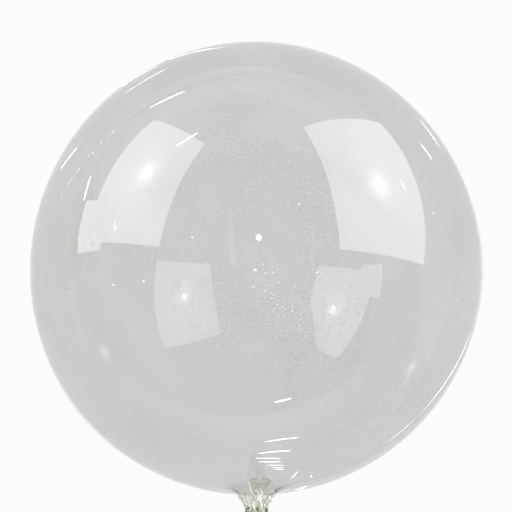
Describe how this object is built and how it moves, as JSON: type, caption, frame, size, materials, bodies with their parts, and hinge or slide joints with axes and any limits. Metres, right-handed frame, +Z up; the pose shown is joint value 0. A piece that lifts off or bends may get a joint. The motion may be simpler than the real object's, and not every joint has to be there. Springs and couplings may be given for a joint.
{
  "type": "clear bubble balloon",
  "caption": "Clear stretch-film bubble balloon, blown up and closed by a knot in its own neck, lying on a small flat spot.",
  "frame": {"origin": "centre of the small flat spot that the balloon lies on", "axes": "+Z up, +Y from the neck to the crown, X across the level weld"},
  "size_m": [0.4532, 0.5727, 0.4282],
  "materials": {
    "film": "gloss"
  },
  "bodies": {
    "root": {"balloon": "film"}
  },
  "joints": []
}
